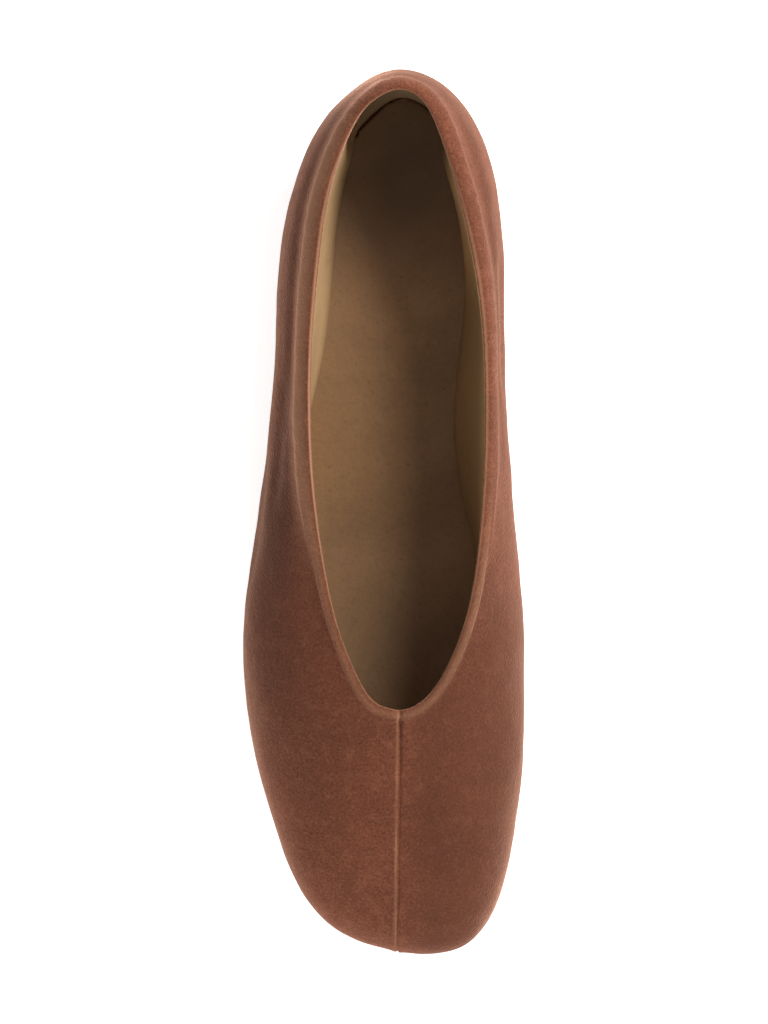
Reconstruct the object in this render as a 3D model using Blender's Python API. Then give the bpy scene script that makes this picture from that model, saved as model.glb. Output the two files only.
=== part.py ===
"""Flat suede slip-on for the right foot: upper, insole, outsole and low heel.

The frame has +Z up and +Y towards the toe. +X is the outer (little toe) side. The origin is on the
floor, in the middle of the shoe's length and width. Lengths are in metres.
"""

import math
from collections import namedtuple

import bmesh
import bpy
import numpy as np

# Driving sizes
LENGTH = 0.250
BALL_WIDTH = 0.0798
BACK_HEIGHT = 0.058
DIP_HEIGHT = 0.0425
THROAT_HEIGHT = 0.0465
WALL = 0.0020
HEEL_STIFFENING = 0.0010
FEATHER_INSET = 0.0080
BULGE_RISE = 0.0160
BAND_WIDTH = 0.0065
BAND_PUFF = 0.0008
THROAT_EDGE_WIDTH = 0.0030
THROAT_EDGE_PUFF = 0.0003
SEAM_WIDTH = 0.0022
SEAM_DEPTH = 0.0006
INSOLE_THICKNESS = 0.0020
OUTSOLE_THICKNESS = 0.0030
OUTSOLE_LEDGE = 0.0010
OUTSOLE_ROUNDING = 0.0006
HEEL_LIFT = 0.0080
HEEL_TAPER = 0.0015
TOE_SPRING = 0.0060
GAP = 0.0003

# Places along the shoe, as shares of its length from the heel's back to the toe
BREAST = 0.25
SEAT_END = 0.28
TREAD_START = 0.56
TREAD_END = 0.72
DIP = 0.52
STIFFENING_FULL = 0.14
STIFFENING_END = 0.36
BAND_FULL = 0.40
BAND_END = 0.64

# Where the lower wall meets the sole, and how wide the wall's foot is there
FEATHER_ANGLE = math.radians(55)
WALL_FOOT = 1.6

# How high the rim is rounded, as a share of the wall, and how soon the toe's seam is at its full
# depth, as a share of the side wall
RIM_ROUNDING = 0.45
SEAM_FADE = 0.25

# Fineness of the solids, and how much closer the rows lie where the wall turns under
ROUND_STEPS = 108
LOWER_STEPS = 4
SIDE_STEPS = 9
INNER_STEPS = 9
ROW_GATHERING = 1.7
SOLE_SLICES = 26
MEASURING_STEPS = 80
NUDGE = 0.0004
SHARE_NUDGE = 0.004
MERGE = 0.000001
SLICE_MERGE = 0.00002

Material = namedtuple("Material", "colour roughness")
SUEDE = Material((0.27, 0.115, 0.068), 0.95)
SOCK = Material((0.30, 0.17, 0.075), 0.9)
OUTSOLE_RUBBER = Material((0.10, 0.055, 0.035), 0.7)
HEEL_RUBBER = Material((0.075, 0.042, 0.028), 0.65)

# One row for each station round the shoe, from the heel's back along the outer side to the toe and
# back along the inner side. side and top_side are shares of half the ball width, along and top_along
# of the length: the first pair is the widest line, the second the topline. top is the topline's
# height, from 0 at its dip to 1 at the heel's back or at the throat. inset is the feather line's
# share of FEATHER_INSET, bulge the widest line's share of BULGE_RISE above the sole. crown bends the
# top of the wall inwards, and fullness is the power of its rise: a lower one is fuller.
Station = namedtuple("Station", "side along top_side top_along top inset bulge crown fullness")
STATIONS = (
    Station(-0.125, 0.000, -0.115, 0.026, 1.00, 0.80, 1.00, 1.55, 0.50),
    Station(+0.200, 0.022, +0.045, 0.036, 0.98, 0.95, 1.00, 1.50, 0.50),
    Station(+0.430, 0.060, +0.184, 0.058, 0.89, 1.10, 1.00, 1.35, 0.52),
    Station(+0.628, 0.128, +0.385, 0.130, 0.62, 1.20, 0.98, 1.12, 0.56),
    Station(+0.738, 0.215, +0.482, 0.218, 0.36, 1.25, 0.92, 1.00, 0.60),
    Station(+0.762, 0.305, +0.525, 0.305, 0.14, 1.15, 0.85, 1.00, 0.62),
    Station(+0.807, 0.400, +0.532, 0.404, 0.02, 0.95, 0.78, 1.00, 0.60),
    Station(+0.915, 0.520, +0.470, 0.520, 0.00, 0.78, 0.70, 1.05, 0.54),
    Station(+0.990, 0.620, +0.345, 0.620, 0.26, 0.70, 0.65, 1.15, 0.50),
    Station(+0.980, 0.700, +0.235, 0.668, 0.60, 0.66, 0.61, 1.20, 0.48),
    Station(+0.895, 0.785, +0.160, 0.694, 0.82, 0.65, 0.58, 1.15, 0.48),
    Station(+0.738, 0.872, +0.090, 0.710, 0.93, 0.64, 0.55, 1.10, 0.49),
    Station(+0.542, 0.940, +0.020, 0.718, 0.98, 0.63, 0.53, 1.05, 0.48),
    Station(+0.225, 0.982, -0.055, 0.7215, 1.00, 0.62, 0.52, 1.02, 0.46),
    Station(-0.108, 0.997, -0.120, 0.7230, 1.00, 0.61, 0.52, 1.00, 0.45),
    Station(-0.380, 1.000, -0.190, 0.7205, 1.00, 0.61, 0.53, 1.02, 0.44),
    Station(-0.640, 0.984, -0.245, 0.716, 0.98, 0.62, 0.54, 1.06, 0.43),
    Station(-0.815, 0.940, -0.300, 0.709, 0.95, 0.62, 0.56, 1.10, 0.43),
    Station(-0.918, 0.872, -0.360, 0.698, 0.90, 0.64, 0.60, 1.14, 0.44),
    Station(-0.992, 0.770, -0.445, 0.676, 0.80, 0.68, 0.64, 1.18, 0.45),
    Station(-1.000, 0.680, -0.540, 0.642, 0.62, 0.80, 0.72, 1.15, 0.47),
    Station(-0.972, 0.575, -0.655, 0.575, 0.50, 1.16, 0.84, 1.08, 0.50),
    Station(-0.925, 0.465, -0.726, 0.465, 0.12, 1.55, 1.00, 1.02, 0.55),
    Station(-0.866, 0.365, -0.740, 0.365, 0.21, 1.45, 1.05, 1.00, 0.60),
    Station(-0.857, 0.265, -0.712, 0.268, 0.35, 0.95, 1.05, 1.00, 0.60),
    Station(-0.825, 0.160, -0.588, 0.165, 0.58, 0.80, 1.02, 1.10, 0.56),
    Station(-0.690, 0.074, -0.410, 0.080, 0.84, 0.78, 1.00, 1.35, 0.52),
    Station(-0.425, 0.018, -0.265, 0.036, 0.98, 0.78, 1.00, 1.50, 0.50),
)
SEAM_STATION = 14


def smoothstep(share):
    """0 below 0, 1 above 1, and a smooth rise between."""
    share = np.clip(share, 0.0, 1.0)
    return share * share * (3 - 2 * share)


def place_along(share):
    """Y of a share of the shoe's length."""
    return (share - 0.5) * LENGTH


def share_along(y):
    """Share of the shoe's length at Y."""
    return np.asarray(y) / LENGTH + 0.5


def sole_top(y):
    """Height of the outsole's upper face: level seat, arch, level tread, toe spring."""
    share = share_along(y)
    tread = OUTSOLE_THICKNESS
    seat = HEEL_LIFT + GAP + OUTSOLE_THICKNESS
    arch = smoothstep((share - SEAT_END) / (TREAD_START - SEAT_END))
    toe = np.clip((share - TREAD_END) / (1 - TREAD_END), 0.0, None)
    return seat + (tread - seat) * arch + TOE_SPRING * toe**2


def topline_height(station):
    """Height of the topline at one station."""
    end = BACK_HEIGHT if station.along < DIP else THROAT_HEIGHT
    return DIP_HEIGHT + (end - DIP_HEIGHT) * station.top


def station_sizes(station):
    """One station's row as real sizes, in the order of a Place's names."""
    half_width = BALL_WIDTH / 2
    return (
        station.side * half_width,
        place_along(station.along),
        station.top_side * half_width,
        place_along(station.top_along),
        topline_height(station),
        station.inset * FEATHER_INSET,
        station.bulge * BULGE_RISE,
        station.crown,
        station.fullness,
    )


class ClosedSpline:
    """Smooth closed curve through rows of values, by the distance walked between them."""

    def __init__(self, rows):
        self.rows = np.array(rows)
        steps = np.roll(self.rows[:, :2], -1, axis=0) - self.rows[:, :2]
        self.spans = np.hypot(steps[:, 0], steps[:, 1])
        self.knots = np.concatenate([[0.0], np.cumsum(self.spans)])
        self.bends = self._solve_bends()

    def _solve_bends(self):
        """Second derivatives at the rows, which make the first ones continuous."""
        count = len(self.rows)
        matrix = np.zeros((count, count))
        right = np.zeros_like(self.rows)
        slopes = (np.roll(self.rows, -1, axis=0) - self.rows) / self.spans[:, None]
        for i in range(count):
            before = self.spans[i - 1]
            after = self.spans[i]
            matrix[i, i - 1] += before
            matrix[i, i] += 2 * (before + after)
            matrix[i, (i + 1) % count] += after
            right[i] = 6 * (slopes[i] - slopes[i - 1])
        return np.linalg.solve(matrix, right)

    def at(self, walked):
        """The row of values at a distance walked round the curve."""
        walked = walked % self.knots[-1]
        i = min(int(np.searchsorted(self.knots, walked, side="right")) - 1, len(self.rows) - 1)
        j = (i + 1) % len(self.rows)
        span = self.spans[i]
        b = (walked - self.knots[i]) / span
        a = 1 - b
        cubic = (a**3 - a) * self.bends[i] + (b**3 - b) * self.bends[j]
        return a * self.rows[i] + b * self.rows[j] + cubic * span**2 / 6


Place = namedtuple("Place", "x y top_x top_y top_z inset bulge crown fullness")
WALK = ClosedSpline([station_sizes(station) for station in STATIONS])


def walk_places():
    """Distances round the shoe of the sections, with one on every station and two by the seam."""
    places = []
    for start, span in zip(WALK.knots, WALK.spans):
        steps = max(2, round(ROUND_STEPS * span / WALK.knots[-1]))
        places += [start + span * step / steps for step in range(steps)]
    seam = WALK.knots[SEAM_STATION]
    places += [seam - SEAM_WIDTH / 2, seam + SEAM_WIDTH / 2]
    return np.sort(places)


def centre_sideways():
    """Moves the shoe sideways, so that the origin lies midway across its widest line."""
    across = [WALK.at(walked)[0] for walked in walk_places()]
    WALK.rows[:, [0, 2]] -= (min(across) + max(across)) / 2


centre_sideways()
SEAM = Place(*WALK.rows[SEAM_STATION])


def place_at(walked):
    """The sizes at a distance walked round the shoe, by their names."""
    return Place(*WALK.at(walked))


def wall_at(y):
    """Thickness of the wall, with the heel's stiffening in it."""
    faded = (share_along(y) - STIFFENING_FULL) / (STIFFENING_END - STIFFENING_FULL)
    return WALL + HEEL_STIFFENING * (1 - smoothstep(faded))


def inward(walked):
    """Level direction from the widest line into the shoe."""
    ahead = WALK.at(walked + NUDGE)[:2]
    behind = WALK.at(walked - NUDGE)[:2]
    run = (ahead - behind) / np.linalg.norm(ahead - behind)
    return np.array([-run[1], run[0]])


def turned_under(angle):
    """How far in the turned-under wall is at an angle, from 0 at its widest to 1 at the sole."""
    return (1 - np.cos(angle)) / (1 - math.cos(FEATHER_ANGLE))


def lower_wall(walked, share, inset_from, inset_to):
    """Points of the turned-under wall, from the sole (share 0) to the widest line (share 1)."""
    place = place_at(walked)
    angle = FEATHER_ANGLE * (1 - share)
    rise = 1 - np.sin(angle) / math.sin(FEATHER_ANGLE)
    inset = inset_from + (inset_to - inset_from) * turned_under(angle)
    plan = np.array([place.x, place.y]) + inward(walked) * inset[:, None]
    floor = sole_top(plan[:, 1]) + GAP
    widest = sole_top(place.y) + place.bulge
    return np.column_stack([plan, floor + (widest - floor) * rise])


def side_wall(walked, share):
    """Points of the wall from the widest line (share 0) to the topline (share 1)."""
    place = place_at(walked)
    leaned = share**2
    rise = (1 - np.clip(1 - leaned, 0, 1) ** place.crown) ** place.fullness
    widest = sole_top(place.y) + place.bulge
    x = place.x + (place.top_x - place.x) * leaned
    y = place.y + (place.top_y - place.y) * leaned
    return np.column_stack([x, y, widest + (place.top_z - widest) * rise])


def side_normals(walked, share):
    """Outward directions on the side wall, level at the widest line."""
    low = np.clip(share - SHARE_NUDGE, 0, 1)
    high = np.clip(share + SHARE_NUDGE, 0, 1)
    up = side_wall(walked, high) - side_wall(walked, low)
    round_shoe = side_wall(walked + NUDGE, share) - side_wall(walked - NUDGE, share)
    normals = np.cross(round_shoe, up)
    normals[share < SHARE_NUDGE] = np.append(-inward(walked), 0.0)
    return normals / np.linalg.norm(normals, axis=1)[:, None]


def shares_by_length(walked, lengths_from_top):
    """Shares of the side wall at given lengths down from the topline, and the wall's full length."""
    fine = np.linspace(0, 1, MEASURING_STEPS)
    points = side_wall(walked, fine)
    steps = np.linalg.norm(np.diff(points, axis=0), axis=1)
    from_top = np.concatenate([np.cumsum(steps[::-1])[::-1], [0.0]])
    return np.interp(lengths_from_top, from_top[::-1], fine[::-1]), from_top[0]


def band_at(walked):
    """Width and puff of the gathered band at the topline, which thins to a turned edge in front."""
    along = share_along(place_at(walked).top_y)
    front = smoothstep((along - BAND_FULL) / (BAND_END - BAND_FULL))
    width = BAND_WIDTH + (THROAT_EDGE_WIDTH - BAND_WIDTH) * front
    puff = BAND_PUFF + (THROAT_EDGE_PUFF - BAND_PUFF) * front
    return width, puff


# The band's section, from its lower edge to the topline: shares of its width still to go, and of
# its puff
BandRow = namedtuple("BandRow", "to_go puff")
BAND_ROWS = (
    BandRow(1.00, 0.00),
    BandRow(0.90, 0.55),
    BandRow(0.72, 0.95),
    BandRow(0.40, 1.00),
    BandRow(0.12, 0.75),
    BandRow(0.00, 0.35),
)


def seam_dent(points, shares):
    """How far the wall is pressed in along the seam over the toe, at points of its outer face."""
    seam_x = (SEAM.x + SEAM.top_x) / 2
    across = np.clip(np.abs(points[:, 0] - seam_x) / (SEAM_WIDTH / 2), 0, 1)
    in_front = points[:, 1] > SEAM.top_y - THROAT_EDGE_WIDTH
    return np.where(in_front, SEAM_DEPTH * (1 - across) * np.clip(shares / SEAM_FADE, 0, 1), 0.0)


def wall_section(walked):
    """Closed section through the wall: up its outer face, over the topline, down its inner face."""
    place = place_at(walked)
    thickness = wall_at(place.y)
    band_width, puff = band_at(walked)
    band_lengths = np.array([row.to_go for row in BAND_ROWS]) * band_width
    band_shares, height = shares_by_length(walked, band_lengths)
    climbed = np.linspace(0, 1, SIDE_STEPS + 1)[1:-1] ** ROW_GATHERING
    side_shares, _ = shares_by_length(walked, height - (height - band_width) * climbed)
    shares = np.concatenate([[0.0], side_shares, band_shares])
    puffs = np.concatenate([np.zeros(SIDE_STEPS), [row.puff * puff for row in BAND_ROWS]])
    face = side_wall(walked, shares)
    raised = puffs - seam_dent(face, shares)
    outer = face + side_normals(walked, shares) * raised[:, None]
    turned = np.linspace(0, 1, LOWER_STEPS + 1)[:-1]
    outer_low = lower_wall(walked, turned, 0.0, place.inset)
    inner_lengths = height * (1 - np.linspace(1, 0, INNER_STEPS + 1) ** ROW_GATHERING)
    inner_shares, _ = shares_by_length(walked, inner_lengths)
    inner = side_wall(walked, inner_shares) - side_normals(walked, inner_shares) * thickness
    foot_inset = place.inset + WALL_FOOT * thickness
    inner_low = lower_wall(walked, turned[::-1], thickness, foot_inset)
    rim = (outer[-1] + inner[0]) / 2 + np.array([0, 0, thickness * RIM_ROUNDING])
    return np.vstack([outer_low, outer, rim, inner, inner_low])


def outline(inset_of):
    """Outline round the shoe, inside its widest line by what a function gives for each place."""
    points = []
    for walked in walk_places():
        place = place_at(walked)
        points.append(np.array([place.x, place.y]) + inward(walked) * inset_of(place))
    return np.array(points)


def sole_outline(extra_inset):
    """Outline inside the line where the upper meets the sole, by a distance."""
    return outline(lambda place: place.inset + extra_inset)


def lining_outline(height, clearance):
    """Outline inside the wall's inner face, at a height above the sole."""

    def inset_of(place):
        thickness = wall_at(place.y)
        sine = math.sin(FEATHER_ANGLE) * (1 - min(height / place.bulge, 1.0))
        foot_inset = place.inset + WALL_FOOT * thickness
        return thickness + (foot_inset - thickness) * turned_under(math.asin(sine)) + clearance

    return outline(inset_of)


def add_object(name, mesh_data, material):
    """Object with its own plain material, in the shoe's collection."""
    mesh = bpy.data.meshes.new(name)
    bmesh.ops.recalc_face_normals(mesh_data, faces=mesh_data.faces)
    mesh_data.to_mesh(mesh)
    mesh_data.free()
    finish = bpy.data.materials.new(name)
    finish.use_nodes = True
    shader = finish.node_tree.nodes["Principled BSDF"]
    shader.inputs["Base Color"].default_value = (*material.colour, 1)
    shader.inputs["Roughness"].default_value = material.roughness
    shader.inputs["Metallic"].default_value = 0.0
    mesh.materials.append(finish)
    made = bpy.data.objects.new(name, mesh)
    SHOE.objects.link(made)
    return made


def shade_smooth(made, degrees=40):
    """Smooth shading, kept sharp at edges over an angle."""
    made.data.shade_smooth()
    made.data.set_sharp_from_angle(angle=math.radians(degrees))


def make_upper():
    """Hollow upper: a grid whose columns are the wall's sections, wrapped into a ring."""
    sections = np.array([wall_section(walked) for walked in walk_places()])
    around, across = sections.shape[:2]
    grid = bmesh.new()
    bmesh.ops.create_grid(grid, x_segments=around, y_segments=across, size=0.5)
    for vertex in grid.verts:
        i = round((vertex.co.x + 0.5) * around) % around
        j = round((vertex.co.y + 0.5) * across) % across
        vertex.co = sections[i, j]
    bmesh.ops.remove_doubles(grid, verts=grid.verts, dist=MERGE)
    shade_smooth(add_object("upper", grid, SUEDE))


def plate_between(lower, upper):
    """Level plate between two outlines of as many points, at z 0 and z 1."""
    plate = bmesh.new()
    count = len(lower)
    bmesh.ops.create_cone(plate, cap_ends=True, segments=count, radius1=1, radius2=1, depth=1)
    for vertex in plate.verts:
        i = round(math.atan2(vertex.co.x, vertex.co.y) / math.tau * count) % count
        if vertex.co.z > 0:
            vertex.co = (*upper[i], 1.0)
        else:
            vertex.co = (*lower[i], 0.0)
    return plate


def slice_across(plate, start, end):
    """Cuts a plate across at even steps, so that it can bend along its length."""
    for y in np.linspace(start, end, SOLE_SLICES + 1)[1:-1]:
        whole = plate.verts[:] + plate.edges[:] + plate.faces[:]
        bmesh.ops.bisect_plane(plate, geom=whole, plane_co=(0, y, 0), plane_no=(0, 1, 0))
    bmesh.ops.remove_doubles(plate, verts=plate.verts, dist=SLICE_MERGE)


def bend_to_sole(plate, low, high):
    """Bends a plate to the sole's curve, between two heights from the outsole's upper face."""
    for vertex in plate.verts:
        offset = low + (high - low) * vertex.co.z
        vertex.co.z = float(sole_top(vertex.co.y)) + offset


def make_insole():
    """Insole, wedged between the feet of the wall and just clear of its inner face."""
    lower = lining_outline(0.0, GAP)
    upper = lining_outline(INSOLE_THICKNESS, 2 * GAP)
    plate = plate_between(lower, upper)
    slice_across(plate, lower[:, 1].min(), lower[:, 1].max())
    bend_to_sole(plate, GAP, GAP + INSOLE_THICKNESS)
    shade_smooth(add_object("insole", plate, SOCK))


def make_outsole():
    """Thin outsole that shows a little past the upper's feather line, with a rounded lower edge."""
    ledge = sole_outline(-OUTSOLE_LEDGE)
    rounded = sole_outline(OUTSOLE_ROUNDING - OUTSOLE_LEDGE)
    plate = plate_between(rounded, ledge)
    slice_across(plate, ledge[:, 1].min(), ledge[:, 1].max())
    bend_to_sole(plate, -OUTSOLE_THICKNESS, 0.0)
    shade_smooth(add_object("outsole", plate, OUTSOLE_RUBBER))


def make_heel():
    """Low heel block under the seat, tapered to the floor, with a straight breast."""
    seat = sole_outline(OUTSOLE_ROUNDING - OUTSOLE_LEDGE)
    tapered = sole_outline(OUTSOLE_ROUNDING - OUTSOLE_LEDGE + HEEL_TAPER)
    block = plate_between(tapered, seat)
    whole = block.verts[:] + block.edges[:] + block.faces[:]
    breast = bmesh.ops.bisect_plane(
        block,
        geom=whole,
        plane_co=(0, place_along(BREAST), 0),
        plane_no=(0, 1, 0),
        clear_outer=True,
    )
    cut = [item for item in breast["geom_cut"] if isinstance(item, bmesh.types.BMEdge)]
    bmesh.ops.contextual_create(block, geom=cut)
    for vertex in block.verts:
        vertex.co.z *= HEEL_LIFT
    shade_smooth(add_object("heel", block, HEEL_RUBBER))


for old in list(bpy.data.objects):
    bpy.data.objects.remove(old)
SHOE = bpy.data.collections.new("flat_shoe")
bpy.context.scene.collection.children.link(SHOE)
make_upper()
make_insole()
make_outsole()
make_heel()
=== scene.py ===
import math
import bmesh
import bpy
import numpy as np
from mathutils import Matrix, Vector, noise


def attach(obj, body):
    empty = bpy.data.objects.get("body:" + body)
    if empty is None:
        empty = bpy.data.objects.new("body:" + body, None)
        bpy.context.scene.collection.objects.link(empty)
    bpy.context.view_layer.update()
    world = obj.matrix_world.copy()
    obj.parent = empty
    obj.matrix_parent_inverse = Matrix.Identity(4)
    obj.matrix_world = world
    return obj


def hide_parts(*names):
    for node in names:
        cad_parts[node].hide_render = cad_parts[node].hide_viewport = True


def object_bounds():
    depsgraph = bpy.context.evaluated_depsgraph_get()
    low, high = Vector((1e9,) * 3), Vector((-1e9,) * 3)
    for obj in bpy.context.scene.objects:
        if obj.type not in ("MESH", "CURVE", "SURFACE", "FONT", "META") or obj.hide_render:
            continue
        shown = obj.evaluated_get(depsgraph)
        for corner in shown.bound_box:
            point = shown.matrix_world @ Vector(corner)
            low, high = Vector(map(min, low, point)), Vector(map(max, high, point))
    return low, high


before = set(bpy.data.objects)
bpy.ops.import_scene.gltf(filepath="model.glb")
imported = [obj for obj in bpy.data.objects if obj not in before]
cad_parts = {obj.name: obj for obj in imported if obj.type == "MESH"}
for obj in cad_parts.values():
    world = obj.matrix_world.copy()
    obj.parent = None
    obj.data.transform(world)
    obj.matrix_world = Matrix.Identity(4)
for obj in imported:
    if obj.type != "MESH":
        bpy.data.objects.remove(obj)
cad_low, cad_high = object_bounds()

# Studio
# White paper under the shoe, lit softly from behind the heel on the inner side and, low down, from
# in front of the toe. The camera looks straight down, with the toe pointing down the picture.
SHOE_LENGTH = cad_high.y - cad_low.y
CAMERA_HEIGHT = 3.8
SHOE_SHARE_OF_PICTURE = 0.86
SENSOR_MM = 36.0
FLOOR_SIZE = 6.0
FLOOR_GAP = 0.0002
LIGHT_DISTANCE = 0.9
LIGHT_SIZE = 0.42
KEY_DIRECTION = Vector((-0.80, -0.85, 0.95)).normalized()
KEY_WATTS = 12.3
TOE_LIGHT_DIRECTION = Vector((0.1, 1.0, 0.16)).normalized()
TOE_LIGHT_WATTS = 8.5
ROOM_TINT = (1.0, 0.985, 0.965, 1.0)
ROOM_BRIGHTNESS = 0.36
PAPER_WHITE = (0.97, 0.97, 0.97, 1.0)
PAPER_ROUGHNESS = 0.9
PAPER_GLOW = 0.68

camera_data = bpy.data.cameras.new("camera")
camera = bpy.data.objects.new("camera", camera_data)
camera.location = (0.0, 0.0, CAMERA_HEIGHT)
camera.rotation_euler = (0.0, 0.0, math.pi)
camera_data.sensor_width = SENSOR_MM
camera_data.lens = SENSOR_MM * CAMERA_HEIGHT * SHOE_SHARE_OF_PICTURE / SHOE_LENGTH
camera_data.clip_end = 50.0
bpy.context.scene.collection.objects.link(camera)
bpy.context.scene.camera = camera
bpy.context.scene.view_settings.view_transform = "Standard"


def add_soft_light(name, direction, watts):
    """Adds a round soft light that shines on the shoe from a direction."""
    light_data = bpy.data.lights.new(name, "AREA")
    light_data.shape = "DISK"
    light_data.size = LIGHT_SIZE
    light_data.energy = watts
    light = bpy.data.objects.new(name, light_data)
    light.location = direction * LIGHT_DISTANCE
    light.rotation_euler = direction.to_track_quat("Z", "Y").to_euler()
    bpy.context.scene.collection.objects.link(light)


add_soft_light("key_light", KEY_DIRECTION, KEY_WATTS)
add_soft_light("toe_light", TOE_LIGHT_DIRECTION, TOE_LIGHT_WATTS)

room = bpy.data.worlds.new("white_room")
room.use_nodes = True
room_shader = room.node_tree.nodes["Background"]
room_shader.inputs["Color"].default_value = ROOM_TINT
room_shader.inputs["Strength"].default_value = ROOM_BRIGHTNESS
bpy.context.scene.world = room

bpy.ops.object.select_all(action="DESELECT")
bpy.ops.mesh.primitive_plane_add(size=FLOOR_SIZE, location=(0.0, 0.0, -FLOOR_GAP))
floor = bpy.context.object
floor.name = "floor"
paper = bpy.data.materials.new("white_paper")
paper.use_nodes = True
paper_shader = paper.node_tree.nodes["Principled BSDF"]
paper_shader.inputs["Base Color"].default_value = PAPER_WHITE
paper_shader.inputs["Roughness"].default_value = PAPER_ROUGHNESS
paper_shader.inputs["Emission Color"].default_value = (1.0, 1.0, 1.0, 1.0)
paper_shader.inputs["Emission Strength"].default_value = PAPER_GLOW
floor.data.materials.append(paper)

# Suede upper
# One piece of soft brown suede, closed by a seam over the toe and lasted under the insole. Its top
# edge is folded over a soft band, sewn down in a channel and turned in over the lining.
WALL_FINENESS = 2
GRID_SECTIONS = 110
GRID_ROWS = 34
LONGEST_LINE = 300
QUAD_EVENNESS = 1.3
MM = 0.001
# From here on lengths are in millimetres, and rows of the wall count outwards from the rim.
MERGE_DISTANCE = 0.01
OUTER_FOOT_ROW = 19
BAND_EDGE_ROW = 6.0
TURNED_IN_ROW = -1.3
SUEDE_THICKNESS = 0.8
MIDLINE_X = -4.5
BAND_PUFF = 0.25
BAND_WRINKLE_SIZE = 3.5
BAND_WRINKLE_HEIGHT = 0.10
GATHER_LENGTH = 4.4
GATHER_DEPTH = 0.06
# How the gathers stray from even ones: share of a gather, length (mm) and start.
GATHER_SWAYS = (
    (0.35, 6.1, 0.0),
    (0.22, 2.3, 1.0),
)
BAND_FADE_OUTER_Y = (-15.0, 30.0)
BAND_FADE_INNER_Y = (-50.0, 0.0)
CHANNEL_DEPTH = 0.22
CHANNEL_RIDGE = 0.08
FRONT_ROLL = 0.15
FRONT_GROOVE = 0.22
SEAM_TOP = (-4.6, 56.4)
SEAM_TOE = (-3.8, 123.0)
SEAM_STARTS_Y = (55.0, 58.0)
SEAM_ENDS_ROWS = (14.0, 16.0)
SEAM_LIP = 0.35
SEAM_LIP_WIDTH = 1.3
SEAM_LIP_CHANGE = 0.35
SEAM_LIP_CHANGE_SIZE = 11.0
SEAM_GROOVE = 0.55
SEAM_GROOVE_WIDTH = 0.33
SEAM_PIT = 0.3
SEAM_TAB = 0.3
BACK_SEAM = 0.3
BACK_SEAM_X = -1.0
TOE_CORNER = (-37.0, 89.0)
# How light the nap gets with wear and where highlights are painted, and how dark the painted shade
# gets, from nought to one.
TOE_RUB = 0.07
RIM_RUB = 0.30
OUTER_RIM_HIGHLIGHT = 0.35
SEAM_HIGHLIGHT = 0.2
FRONT_HIGHLIGHT = 0.16
BAND_HIGHLIGHT = 0.34
CHANNEL_SHADE = 0.5
VAMP_SHADE = 0.5
ARCH_SHADE = 0.6
SUEDE_SHADE = (0.068, 0.023, 0.012)
SUEDE_MID = (0.138, 0.042, 0.021)
SUEDE_LIGHT = (0.28, 0.105, 0.056)
SUEDE_WEAR_AND_HIGHLIGHT = (0.50, 0.27, 0.15)
# Creases on the sides: side, start and end (y and z, mm), half width and depth (mm).
SIDE_CREASES = (
    (1, (-45, 34), (5, 28), 3.0, 0.9),
    (1, (-20, 22), (30, 17), 4.5, 0.7),
    (-1, (-75, 36), (-30, 32), 3.0, 0.8),
    (-1, (-35, 24), (25, 18), 4.5, 0.7),
)
# Creases over the vamp: start and end (x and y, mm), half width and depth (mm).
TOP_CREASES = (
    ((-10, 62), (-24, 58), 2.4, 0.5),
    ((2, 60), (16, 54), 2.4, 0.5),
    ((-9, 74), (-20, 80), 2.8, 0.35),
    ((3, 78), (14, 86), 3.0, 0.35),
)
# Unevenness of the lasted suede: size and height (mm), and seed.
WALL_WAVES = (
    (15.0, 0.30, 1),
    (6.0, 0.10, 2),
)


def apply_modifier(piece, kind, **settings):
    """Adds a modifier to a piece and applies it."""
    modifier = piece.modifiers.new(kind.lower(), kind)
    for name, value in settings.items():
        setattr(modifier, name, value)
    bpy.ops.object.select_all(action="DESELECT")
    piece.select_set(True)
    bpy.context.view_layer.objects.active = piece
    bpy.ops.object.modifier_apply(modifier=modifier.name)


def edit(piece, select_mode):
    """Opens one piece in edit mode, with nothing else selected."""
    bpy.ops.object.select_all(action="DESELECT")
    piece.select_set(True)
    bpy.context.view_layer.objects.active = piece
    bpy.ops.object.mode_set(mode="EDIT")
    bpy.ops.mesh.select_mode(type=select_mode)


def merged_copy(node_name, piece_name, paired):
    """A copy of a CAD node with its loose triangles merged, and paired into quads if asked."""
    piece = bpy.data.objects.new(piece_name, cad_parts[node_name].data.copy())
    piece.data.materials.clear()
    bpy.context.scene.collection.objects.link(piece)
    edit(piece, "FACE")
    bpy.ops.mesh.select_all(action="SELECT")
    bpy.ops.mesh.remove_doubles(threshold=MERGE_DISTANCE * MM)
    if paired:
        bpy.ops.mesh.tris_convert_to_quads(
            face_threshold=math.pi,
            shape_threshold=math.pi,
            topology_influence=QUAD_EVENNESS,
        )
    bpy.ops.object.mode_set(mode="OBJECT")
    return piece


def line_onwards(vertex, edge):
    """Vertices met by going straight on over the wall's grid, until back at the first."""
    line = [vertex]
    while len(line) < LONGEST_LINE:
        ahead = edge.other_vert(line[-1])
        if ahead == line[0]:
            return line
        step = ahead.co - line[-1].co
        line.append(ahead)
        beside = set(edge.link_faces)
        onward = [other for other in ahead.link_edges if not beside & set(other.link_faces)]
        edge = max(onward, key=lambda other: step.dot(other.other_vert(ahead).co - ahead.co))
    raise RuntimeError("the wall's grid isn't closed")


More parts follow.
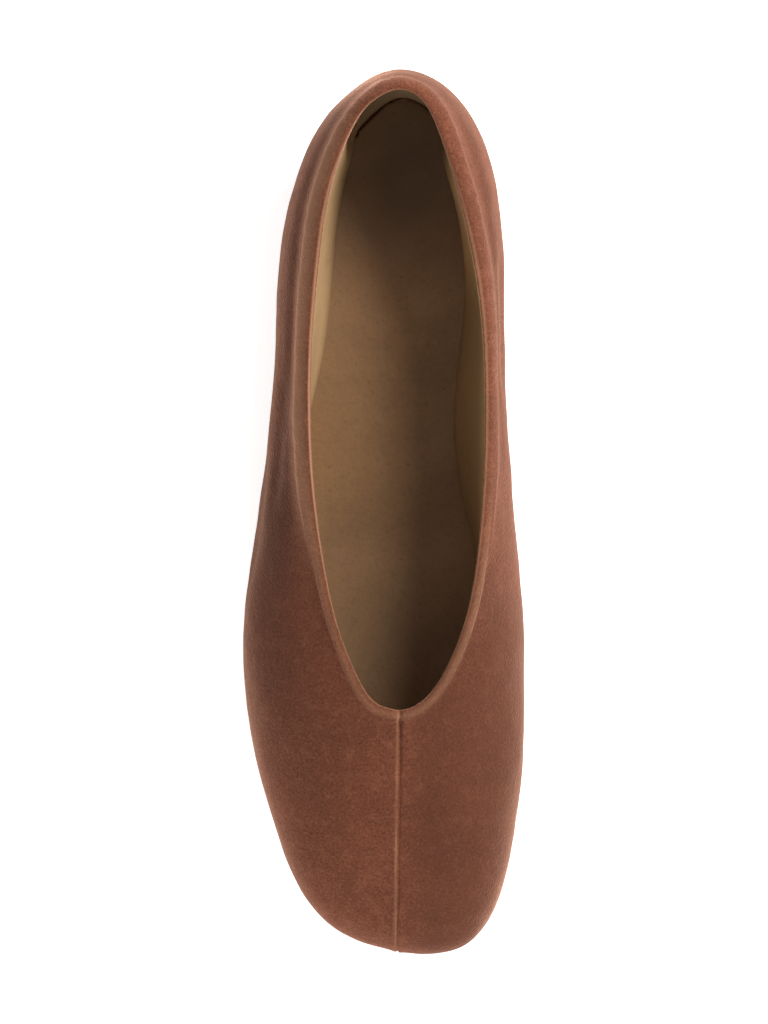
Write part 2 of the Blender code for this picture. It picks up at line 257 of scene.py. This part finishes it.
def wall_sections(grid):
    """The wall's sections, each from the rim down the outside, under the foot and up inside."""
    top = max(grid.verts, key=lambda vertex: vertex.co.z)
    along = max(top.link_edges, key=lambda edge: edge.other_vert(top).co.z)
    rim = line_onwards(top, along)
    outward = min(top.link_edges, key=lambda edge: edge.other_vert(top).co.y)
    sections = [line_onwards(top, outward)]
    for vertex in rim[1:]:
        outer_faces = set(outward.link_faces)
        outward = next(
            edge
            for edge in vertex.link_edges
            if edge.other_vert(vertex) not in rim and outer_faces & set(edge.link_faces)
        )
        sections.append(line_onwards(vertex, outward))
    return sections


def number_wall(piece):
    """Numbers the wall's sections and rows in its UV map. Gives both counts and the rim's points."""
    grid = bmesh.new()
    grid.from_mesh(piece.data)
    sections = wall_sections(grid)
    places = {v.index: (u, w) for u, section in enumerate(sections) for w, v in enumerate(section)}
    round_count = len(sections)
    row_count = len(sections[0])
    layer = grid.loops.layers.uv.verify()
    for face in grid.faces:
        places_here = [places[loop.vert.index] for loop in face.loops]
        last_u = max(place[0] for place in places_here)
        last_w = max(place[1] for place in places_here)
        for loop, (u, w) in zip(face.loops, places_here):
            u += round_count if last_u - u > 5 else 0
            w += row_count if last_w - w > 5 else 0
            loop[layer].uv = (u, w)
    grid.to_mesh(piece.data)
    crest = np.array([section[0].co[:] for section in sections])
    grid.free()
    return round_count, row_count, crest


def numbers_of(piece):
    """Each vertex's section, and its row: up from the rim outside, down from it inside."""
    vertices = np.zeros(len(piece.data.loops), np.int32)
    piece.data.loops.foreach_get("vertex_index", vertices)
    uv = np.zeros(len(piece.data.loops) * 2, np.float32)
    piece.data.uv_layers[0].uv.foreach_get("vector", uv)
    numbers = np.zeros((len(piece.data.vertices), 2))
    numbers[vertices] = uv.reshape(-1, 2)
    rows = numbers[:, 1]
    return numbers[:, 0] % SECTIONS, np.where(rows > OUTER_FOOT_ROW + 0.5, rows - ROWS, rows)


def points_of(piece):
    """Places of a piece's vertices, in rows of three."""
    flat = np.zeros(len(piece.data.vertices) * 3, np.float32)
    piece.data.vertices.foreach_get("co", flat)
    return flat.reshape(-1, 3).astype(float)


def facing_of(piece):
    """Directions that a piece's vertices face, in rows of three."""
    flat = np.zeros(len(piece.data.vertices) * 3, np.float32)
    piece.data.vertex_normals.foreach_get("vector", flat)
    return flat.reshape(-1, 3).astype(float)


def move_to(piece, places):
    """Puts a piece's vertices at new places, given in metres and in rows of three."""
    piece.data.vertices.foreach_set("co", places.ravel().astype(np.float32))
    piece.data.update()


def push_out(piece, amounts):
    """Moves each vertex of a piece along its own normal, by an amount in millimetres."""
    move_to(piece, points_of(piece) + facing_of(piece) * amounts[:, None] * MM)


def ease(value, start, end):
    """Goes softly from nought at start to one at end."""
    share = np.clip((value - start) / (end - start), 0.0, 1.0)
    return share * share * (3.0 - 2.0 * share)


def hump(value, middle, half_width):
    """A soft hump of height one."""
    return np.exp(-((value - middle) / half_width) ** 2)


def crease(across, along, start, end, half_width):
    """A soft trough of depth one between two places, fading at both ends."""
    run = (end[0] - start[0], end[1] - start[1])
    length = math.hypot(*run)
    travelled = ((across - start[0]) * run[0] + (along - start[1]) * run[1]) / length
    aside = ((across - start[0]) * run[1] - (along - start[1]) * run[0]) / length
    fade_in = ease(travelled, -half_width, length * 0.35)
    fade_out = 1 - ease(travelled, length * 0.65, length + half_width)
    return hump(aside, 0.0, half_width) * fade_in * fade_out


def spot(x, y, middle, squash, half_width):
    """A soft round spot of height one, made longer in y by a squash under one."""
    return hump(np.hypot(x - middle[0], (y - middle[1]) * squash), 0.0, half_width)


def toe_seam(y, rows):
    """The toe seam's x at each vertex's y, and how strongly the seam shows there."""
    share = (y - SEAM_TOP[1]) / (SEAM_TOE[1] - SEAM_TOP[1])
    shown = ease(y, *SEAM_STARTS_Y) * (1 - ease(rows, *SEAM_ENDS_ROWS)) * ease(rows, -1.0, 1.0)
    return SEAM_TOP[0] + share * (SEAM_TOE[0] - SEAM_TOP[0]), shown


def unevenness(points, size, seed):
    """Smooth random hills of about a given size in millimetres, from minus one to one."""
    shift = Vector((seed * 3.1, seed * 5.7, seed * 1.9))
    scaled = points / (size * MM)
    return np.array([noise.noise(Vector(place) + shift) for place in scaled])


def keep_mask(piece, name, values):
    """Stores how strongly a finish shows at each vertex, for the materials to read."""
    layer = piece.data.attributes.new(name, "FLOAT", "POINT")
    layer.data.foreach_set("value", np.asarray(values, np.float32))


wall = merged_copy("upper", "wall", True)
SECTIONS, ROWS, rim_crest = number_wall(wall)
if (SECTIONS, ROWS) != (GRID_SECTIONS, GRID_ROWS):
    raise RuntimeError("the wall isn't the grid that this script knows")
apply_modifier(wall, "SUBSURF", levels=WALL_FINENESS, render_levels=WALL_FINENESS, uv_smooth="NONE")

sections, rows = numbers_of(wall)
x, y, z = (points_of(wall) / MM).T
facing = facing_of(wall)
outside = ease(rows, -1.0, 1.0)
seam_x, on_seam = toe_seam(y, rows)
relief = np.zeros(len(x))
lip_change = SEAM_LIP_CHANGE * unevenness(points_of(wall), SEAM_LIP_CHANGE_SIZE, 4)
lip_height = SEAM_LIP * (1 + lip_change)
relief += on_seam * lip_height * hump(x, seam_x, SEAM_LIP_WIDTH)
relief -= on_seam * SEAM_GROOVE * hump(x, seam_x, SEAM_GROOVE_WIDTH)
relief -= SEAM_PIT * outside * spot(x, y, (SEAM_TOP[0], SEAM_TOP[1] + 2.0), 0.5, 1.1)
relief += SEAM_TAB * outside * spot(x, y, (SEAM_TOP[0] - 1.3, SEAM_TOP[1] + 3.5), 0.6, 0.9)
at_back = (1 - ease(y, -117.0, -112.0)) * outside * (1 - ease(rows, 15.0, 17.0))
relief -= BACK_SEAM * at_back * hump(x, BACK_SEAM_X, 0.5)
for side, start, end, half_width, depth in SIDE_CREASES:
    turned = np.clip(facing[:, 0] * side, 0.0, 1.0)
    relief -= depth * turned * outside * crease(y, z, start, end, half_width)
for start, end, half_width, depth in TOP_CREASES:
    turned = np.clip(facing[:, 2], 0.0, 1.0)
    relief -= depth * turned * outside * crease(x, y, start, end, half_width)
below_rim = ease(rows, 1.0, 5.0) * (1 - ease(rows, 15.0, 17.0))
for size, height, seed in WALL_WAVES:
    relief += below_rim * height * unevenness(points_of(wall), size, seed)
push_out(wall, relief)


def part_of_wall(name, first_row, last_row):
    """A copy of the wall between two of its rows, which go from minus 14 inside to 19 outside."""
    piece = bpy.data.objects.new(name, wall.data.copy())
    bpy.context.scene.collection.objects.link(piece)
    uv = np.zeros(len(piece.data.loops) * 2, np.float32)
    piece.data.uv_layers[0].uv.foreach_get("vector", uv)
    middles = uv.reshape(-1, 4, 2)[:, :, 1].mean(axis=1)
    middles = np.where(middles > OUTER_FOOT_ROW + 0.99, middles - ROWS, middles)
    beyond = (middles < first_row) | (middles > last_row)
    piece.data.polygons.foreach_set("select", beyond)
    edit(piece, "FACE")
    bpy.ops.mesh.delete(type="FACE")
    bpy.ops.object.mode_set(mode="OBJECT")
    return piece


def smooth(piece):
    """Shades a piece smoothly."""
    bpy.ops.object.select_all(action="DESELECT")
    piece.select_set(True)
    bpy.context.view_layer.objects.active = piece
    bpy.ops.object.shade_smooth()


def add_node(tree, kind, inputs=None, **settings):
    """Adds a node, with its settings, and values or links for its inputs."""
    node = tree.nodes.new(kind)
    for name, value in settings.items():
        setattr(node, name, value)
    for name, value in (inputs or {}).items():
        if isinstance(value, bpy.types.NodeSocket):
            tree.links.new(value, node.inputs[name])
        else:
            node.inputs[name].default_value = value
    return node


def colour(rgb):
    """A colour with full opacity."""
    return (*rgb, 1.0)


def blend_colours(tree, share, first, second):
    """Mixes two colours by a share."""
    node = add_node(tree, "ShaderNodeMix", data_type="RGBA")
    for index, value in ((0, share), (6, first), (7, second)):
        if isinstance(value, bpy.types.NodeSocket):
            tree.links.new(value, node.inputs[index])
        else:
            node.inputs[index].default_value = value
    return node.outputs[2]


def spread(tree, value, low, high, start=0.0, end=1.0):
    """Stretches a value from the range low to high onto the range start to end."""
    node = add_node(
        tree,
        "ShaderNodeMapRange",
        {0: value, 1: low, 2: high, 3: start, 4: end},
        interpolation_type="SMOOTHSTEP",
    )
    return node.outputs[0]


def new_finish(name):
    """A new material, with its nodes, its shader and the place on the piece."""
    finish = bpy.data.materials.new(name)
    finish.use_nodes = True
    tree = finish.node_tree
    place = add_node(tree, "ShaderNodeTexCoord").outputs["Object"]
    return finish, tree, tree.nodes["Principled BSDF"], place


def clouds_of(tree, place, scale, detail):
    """A soft random value from nought to one over a piece."""
    settings = {"Vector": place, "Scale": scale, "Detail": detail}
    return add_node(tree, "ShaderNodeTexNoise", settings).outputs[0]


def mask_of(tree, name):
    """A mask that the piece's vertices hold."""
    return add_node(tree, "ShaderNodeAttribute", attribute_name=name).outputs["Fac"]


def paint_over(tree, tone, layers):
    """Lays colours over a tone: value, where it starts and is full, strength, and colour."""
    for value, start, full, strength, paint in layers:
        tone = blend_colours(tree, spread(tree, value, start, full, 0.0, strength), tone, colour(paint))
    return tone


def bump(tree, height, distance, strength, under=None):
    """Tiny relief in a surface, over a coarser one if given."""
    inputs = {"Height": height, "Distance": distance, "Strength": strength}
    if under is not None:
        inputs["Normal"] = under
    return add_node(tree, "ShaderNodeBump", inputs).outputs[0]


def suede_finish():
    """Brown suede: mottled nap with fine specks, lighter with wear and where highlights are painted,
    darker where shade is painted.
    """
    finish, tree, shader, place = new_finish("brown_suede")
    patches = clouds_of(tree, place, 45.0, 3.0)
    strokes = clouds_of(tree, place, 260.0, 4.0)
    specks = clouds_of(tree, place, 1500.0, 2.0)
    patchy = spread(tree, patches, 0.25, 0.75, 0.6, 1.0)
    layers = (
        (strokes, 0.45, 0.85, 0.3, SUEDE_LIGHT),
        (strokes, 0.42, 0.15, 0.3, SUEDE_SHADE),
        (specks, 0.50, 0.80, 0.4, SUEDE_LIGHT),
        (specks, 0.50, 0.25, 0.8, SUEDE_SHADE),
    )
    tone = paint_over(tree, blend_colours(tree, patchy, colour(SUEDE_SHADE), colour(SUEDE_MID)), layers)
    tone = blend_colours(tree, mask_of(tree, "shaded"), tone, colour(SUEDE_SHADE))
    tone = blend_colours(tree, mask_of(tree, "wear_and_highlight"), tone, colour(SUEDE_WEAR_AND_HIGHLIGHT))
    tree.links.new(tone, shader.inputs["Base Color"])
    coarse = bump(tree, strokes, 0.0004, 0.45)
    tree.links.new(bump(tree, specks, 0.0003, 0.85, coarse), shader.inputs["Normal"])
    shader.inputs["Roughness"].default_value = 0.95
    shader.inputs["Specular IOR Level"].default_value = 0.15
    shader.inputs["Sheen Weight"].default_value = 0.42
    shader.inputs["Sheen Roughness"].default_value = 0.38
    shader.inputs["Sheen Tint"].default_value = (1.0, 0.54, 0.37, 1.0)
    return finish


def rim_place(sections):
    """The point of the rim's crest at each section."""
    around = np.arange(SECTIONS + 1)
    closed = np.vstack((rim_crest, rim_crest[:1]))
    return np.stack([np.interp(sections, around, closed[:, axis]) for axis in range(3)], axis=1)


def rim_travel(sections):
    """How far round the rim a section lies, in millimetres from the back of the heel."""
    steps = np.linalg.norm(np.diff(rim_crest, axis=0, append=rim_crest[:1]), axis=1) / MM
    travelled = np.concatenate(([0.0], np.cumsum(steps)))
    return np.interp(sections, np.arange(SECTIONS + 1), travelled)


upper = part_of_wall("suede_upper", TURNED_IN_ROW, OUTER_FOOT_ROW)
sections, rows = numbers_of(upper)
x, y = (points_of(upper) / MM).T[:2]
travel = rim_travel(sections)
from_rim = np.linalg.norm(points_of(upper) - rim_place(sections), axis=1) / MM
gathered = 1 - np.where(x > MIDLINE_X, ease(y, *BAND_FADE_OUTER_Y), ease(y, *BAND_FADE_INNER_Y))
in_front = ease(y, -20.0, 25.0) * ease(rows, -1.0, 0.5)
swing = travel / GATHER_LENGTH
for share, length, start in GATHER_SWAYS:
    swing += share * np.sin(travel / length + start)
gathers = np.sin(2 * math.pi * swing)
across_band = np.sin(math.pi * np.clip(rows / BAND_EDGE_ROW, 0.0, 1.0))
lift = BAND_PUFF * across_band * (0.2 + 0.8 * gathered)
lift += GATHER_DEPTH * gathered * gathers * (0.5 * hump(rows, 0.0, 1.0) + across_band)
wrinkles = unevenness(points_of(upper), BAND_WRINKLE_SIZE, 3)
lift += BAND_WRINKLE_HEIGHT * gathered * across_band * wrinkles
lift -= CHANNEL_DEPTH * hump(rows, BAND_EDGE_ROW, 0.7) * gathered
lift += CHANNEL_RIDGE * hump(rows, BAND_EDGE_ROW + 1.1, 1.1) * gathered
lift += in_front * (FRONT_ROLL * hump(from_rim, 1.6, 1.0) - FRONT_GROOVE * hump(from_rim, 3.2, 0.7))
push_out(upper, lift)

# The band's lower edge is smoothed away where the band runs out over the vamp.
flattened = upper.vertex_groups.new(name="flattened")
for number, weight in enumerate(hump(rows, BAND_EDGE_ROW + 0.3, 2.0) * (1 - gathered)):
    if weight > 0.02:
        flattened.add([number], float(weight), "REPLACE")
apply_modifier(upper, "SMOOTH", factor=0.8, iterations=14, vertex_group="flattened")
upper.vertex_groups.clear()

# The nap is light with wear at the toe's corner and along the rim. Highlights are painted on the outer
# side's rim, the seam's lit bank, the throat's turned edge and the outer band, and shade is painted in
# the channel, over the inner vamp and on the outer side of the arch.
toe_rub = TOE_RUB * spot(x, y, TOE_CORNER, 0.5, 3.2)
seam_x, on_seam = toe_seam(y, rows)
# Painted highlight on the seam's bank that faces the key light.
seam_highlight = SEAM_HIGHLIGHT * on_seam * hump(x, seam_x + 0.7, 0.3)
seam_highlight *= 1 + 0.7 * unevenness(points_of(upper), 9.0, 6)
# Painted highlight along the outer side's rim, on top of the light wear of the whole rim.
outer_rim_highlight = OUTER_RIM_HIGHLIGHT * hump(y, -25.0, 45.0) * (x > MIDLINE_X)
rim_wear_and_highlight = hump(rows, -0.7, 0.4) * (RIM_RUB + outer_rim_highlight)
# Painted highlight on the throat's turned edge.
front_highlight = FRONT_HIGHLIGHT * in_front * hump(from_rim, 1.5, 1.1)
# Painted highlight on the upward face of the band on the outer side.
band_highlight = BAND_HIGHLIGHT * gathered * across_band * ease(x, 2.0, 18.0)
keep_mask(upper, "wear_and_highlight", toe_rub + rim_wear_and_highlight + seam_highlight + front_highlight + band_highlight)
# Painted shade in the channel, over the inner vamp and on the outer side of the arch.
channel = CHANNEL_SHADE * gathered * hump(rows, BAND_EDGE_ROW + 0.8, 1.2)
inner_vamp = VAMP_SHADE * ease(y, 0.0, 45.0) * ease(-x, 3.0, 14.0)
outer_arch = ARCH_SHADE * hump(y, 0.0, 45.0) * ease(x, 12.0, 28.0) * ease(rows, 5.0, 8.0)
keep_mask(upper, "shaded", np.clip(channel + inner_vamp + outer_arch, 0.0, 1.0))
apply_modifier(upper, "SOLIDIFY", thickness=SUEDE_THICKNESS * MM, offset=-1.0)
smooth(upper)
upper.data.materials.append(suede_finish())
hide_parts("upper")
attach(upper, "root")

# Lining
# Smooth tan leather, glued inside the suede from the insole up to the turned rim. It slopes in to
# the sock's edge, and has shade painted on it under the inner arch, round the heel and along its foot.
INNER_FOOT_ROW = -14.0
LINING_THICKNESS = 0.6
# How far the lining lies back, and its foot dips into the sock and reaches in over it.
LINING_RECESS = 0.2
FOOT_TUCK = 1.5
FOOT_REACH = 3.6
# How dark the painted shade gets under the arch, round the heel and along the lining's foot.
LINING_ARCH_SHADE = 0.75
LINING_HEEL_SHADE = 0.85
LINING_FOOT_SHADE = 0.25
# The deepest tone, as a share of the leather's darker one.
DEEP_SHARE = 0.42
LINING_TAN = (0.50, 0.315, 0.155)
LINING_OLIVE = (0.34, 0.215, 0.105)
# Where the lining meets the sock: the outer and the inner side's x for each y, all in mm. Then the
# height of the sock's top along the shoe.
MEETING_Y = (-112.0, -100.0, -86.0, -76.0, -59.0, -42.0, -33.0, -18.0, -2.0, 8.0, 25.0, 60.0)
OUTER_SIDE_X = (5.5, 9.5, 12.6, 13.7, 14.6, 17.2, 19.5, 24.0, 28.0, 31.0, 36.0, 45.0)
INNER_SIDE_X = (-12.0, -16.9, -20.2, -22.8, -22.6, -21.0, -18.8, -19.6, -22.0, -25.0, -32.0, -45.0)
SOCK_TOP_Y = (-120.0, -52.0, -40.0, -25.0, -10.0, 5.0, 20.0, 50.0, 80.0, 95.0, 120.0)
SOCK_TOP_Z = (13.6, 13.6, 13.0, 11.0, 8.4, 6.2, 5.3, 5.3, 6.5, 7.7, 11.5)


def leather_finish(name, light, dark, roughness):
    """Smooth leather with a fine pebbled grain, pore specks and cloudy handling marks, darker where its
    mask of painted shade and wear is high.
    """
    finish, tree, shader, place = new_finish(name)
    clouds = clouds_of(tree, place, 45.0, 5.0)
    mottle = clouds_of(tree, place, 700.0, 4.0)
    pores = clouds_of(tree, place, 1300.0, 3.0)
    cells = add_node(tree, "ShaderNodeTexVoronoi", {"Vector": place, "Scale": 900.0})
    deep = tuple(DEEP_SHARE * part for part in dark)
    cloudy = spread(tree, clouds, 0.3, 0.72, 0.2, 0.85)
    layers = (
        (mottle, 0.5, 0.25, 0.16, deep),
        (mottle, 0.52, 0.75, 0.3, light),
        (pores, 0.6, 0.75, 0.4, deep),
    )
    tone = paint_over(tree, blend_colours(tree, cloudy, colour(dark), colour(light)), layers)
    tone = blend_colours(tree, mask_of(tree, "shade_and_wear"), tone, colour(deep))
    tree.links.new(tone, shader.inputs["Base Color"])
    grain = bump(tree, cells.outputs["Distance"], 0.00012, 0.35)
    tree.links.new(bump(tree, clouds, 0.0008, 0.4, grain), shader.inputs["Normal"])
    shine = spread(tree, clouds, 0.3, 0.7, roughness + 0.08, roughness - 0.08)
    tree.links.new(shine, shader.inputs["Roughness"])
    shader.inputs["Specular IOR Level"].default_value = 0.35
    return finish


def meeting_line(y, side_x):
    """The x at which the lining meets the sock on one side, rounded over 24 mm of length."""
    return sum(np.interp(y + shift, MEETING_Y, side_x) for shift in range(-12, 13, 4)) / 7


lining = part_of_wall("lining", INNER_FOOT_ROW, TURNED_IN_ROW + 0.3)
sections, rows = numbers_of(lining)
push_out(lining, np.full(len(rows), -LINING_RECESS))
x, y, z = (points_of(lining) / MM).T
rim_x, rim_z = (rim_place(sections) / MM).T[[0, 2]]
outer_side = x > MIDLINE_X

# The lining slopes from the rim in to the sock's edge.
meeting_x = np.where(outer_side, meeting_line(y, OUTER_SIDE_X), meeting_line(y, INNER_SIDE_X))
sock_top = np.interp(y, SOCK_TOP_Y, SOCK_TOP_Z)
climb = np.clip((z - sock_top) / (rim_z - sock_top), 0.0, 1.0)
sloped_x = meeting_x + (rim_x - meeting_x) * climb ** 0.9
inwards = np.where(outer_side, np.minimum(x, sloped_x), np.maximum(x, sloped_x))
x = x + (inwards - x) * ease(y, -121.0, -98.0) * (1 - ease(rows, -2.5, -1.2))

# Its foot dips into the sock and, in the forefoot, reaches in to it.
z = z - FOOT_TUCK * (1 - ease(rows, INNER_FOOT_ROW, -13.2))
reach_start = np.where(outer_side, ease(y, -25.0, -5.0), ease(y, 0.0, 30.0))
reach = FOOT_REACH * reach_start * (1 - ease(rows, INNER_FOOT_ROW, -12.5))
x = x - reach * np.clip((x - MIDLINE_X) / 15.0, -1.0, 1.0)
move_to(lining, np.stack((x, y, z), axis=1) * MM)

# Shade is painted on it under the arch on the inner side, round the heel and along its foot.
arch = ease(y, -80.0, -55.0) * (1 - ease(y, 30.0, 55.0))
arch_shade = LINING_ARCH_SHADE * arch * ease(-x, 4.5, 14.0) * (1 - ease(rows, -6.0, -1.5))
outer_heel = 1 - ease(y, -114.0, -103.0)
inner_heel = 1 - ease(y, -100.0, -88.0)
heel_shade = LINING_HEEL_SHADE * np.where(outer_side, outer_heel, inner_heel)
foot_shade = LINING_FOOT_SHADE * (1 - ease(rows, INNER_FOOT_ROW, -12.0))
keep_mask(lining, "shade_and_wear", np.maximum(np.maximum(arch_shade, heel_shade), foot_shade))
apply_modifier(lining, "SOLIDIFY", thickness=LINING_THICKNESS * MM, offset=-1.0)
smooth(lining)
lining.data.materials.append(leather_finish("lining_leather", LINING_TAN, LINING_OLIVE, 0.5))
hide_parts("upper")
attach(lining, "root")
bpy.data.objects.remove(wall)

# Insole
# A thin board under a glued leather sock, dented by the heel and the ball of the foot. It starts as
# the CAD insole, remeshed finely enough to take the dents.
SOCK_FINENESS = 0.9
# How far the sock's edge goes behind the lining, and the middle and share of its growth at the heel.
SOCK_TUCK = 1.1
HEEL_MIDDLE = (-4.0, -95.0)
HEEL_GROWTH = 0.055
# Unevenness of the sock: size and height (mm), and seed.
SOCK_WAVES = (22.0, 0.12, 5)
# How dark the painted shade at the heel and the wear and painted shade in the dents get, and the most
# that the sock darkens.
SOCK_HEEL_SHADE = 0.55
DENT_WEAR_AND_SHADE = 0.8
MOST_WEAR_AND_SHADE = 0.85
SOCK_TAN = (0.27, 0.145, 0.064)
SOCK_OLIVE = (0.18, 0.098, 0.044)
# Dents of the foot: middle (x and y, mm), half width and half length (mm), depth (mm).
SOCK_DENTS = (
    ((-4.0, -88.0), (17.0, 20.0), 0.55),
    ((-8.0, 36.0), (16.0, 16.0), 0.45),
    ((12.0, 22.0), (11.0, 16.0), 0.3),
)

insole = merged_copy("insole", "insole_sock", False)
apply_modifier(insole, "REMESH", mode="VOXEL", voxel_size=SOCK_FINENESS * MM)
apply_modifier(insole, "SMOOTH", factor=0.5, iterations=3)
x, y = (points_of(insole) / MM).T[:2]
upward = np.clip(facing_of(insole)[:, 2], 0.0, 1.0)
dents = np.zeros(len(x))
for middle, halves, depth in SOCK_DENTS:
    dents += depth * hump(x, middle[0], halves[0]) * hump(y, middle[1], halves[1])
wave_size, wave_height, wave_seed = SOCK_WAVES
waves = wave_height * unevenness(points_of(insole), wave_size, wave_seed)
push_out(insole, upward * (waves - dents))
places = points_of(insole) / MM
places[:, :2] *= 1 + SOCK_TUCK / places[:, :2].max(axis=0)
heel_growth = HEEL_GROWTH * (1 - ease(places[:, 1], -95.0, -60.0))
places[:, 0] += (places[:, 0] - HEEL_MIDDLE[0]) * heel_growth
end_growth = HEEL_GROWTH * (1 - ease(places[:, 1], -112.0, -95.0))
places[:, 1] += (places[:, 1] - HEEL_MIDDLE[1]) * end_growth
move_to(insole, places * MM)
# Painted shade at the heel and under the toe box. The dents darken with both wear and painted shade.
heel_shade = SOCK_HEEL_SHADE * (1 - ease(y, -95.0, -55.0)) * ease(-x, -16.0, 6.0)
toe_shade = ease(y, 40.0, 95.0)
keep_mask(insole, "shade_and_wear", np.clip(dents * DENT_WEAR_AND_SHADE + heel_shade + toe_shade, 0.0, MOST_WEAR_AND_SHADE))
smooth(insole)
insole.data.materials.append(leather_finish("sock_leather_wear_and_shade", SOCK_TAN, SOCK_OLIVE, 0.55))
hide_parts("insole")
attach(insole, "root")

# Outsole and heel
# Dark brown rubber, moulded with a fine grain, the heel a little darker. The sole is glued under the
# upper, and the heel block under the sole.
RUBBER_BROWN = (0.095, 0.052, 0.034)
RUBBER_DARK = (0.05, 0.028, 0.019)


def rubber_finish(name, light, dark):
    """Matt moulded rubber, with a cloudy tone and a fine grain."""
    finish, tree, shader, place = new_finish(name)
    cloudy = spread(tree, clouds_of(tree, place, 60.0, 4.0), 0.35, 0.7)
    tone = blend_colours(tree, cloudy, colour(dark), colour(light))
    tree.links.new(tone, shader.inputs["Base Color"])
    grain = bump(tree, clouds_of(tree, place, 1600.0, 2.0), 0.0001, 0.5)
    tree.links.new(grain, shader.inputs["Normal"])
    shader.inputs["Roughness"].default_value = 0.62
    shader.inputs["Specular IOR Level"].default_value = 0.4
    return finish


for node_name, light, dark in (
    ("outsole", RUBBER_BROWN, RUBBER_DARK),
    ("heel", RUBBER_DARK, RUBBER_BROWN),
):
    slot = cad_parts[node_name].material_slots[0]
    slot.material = rubber_finish(node_name + "_moulded", light, dark)
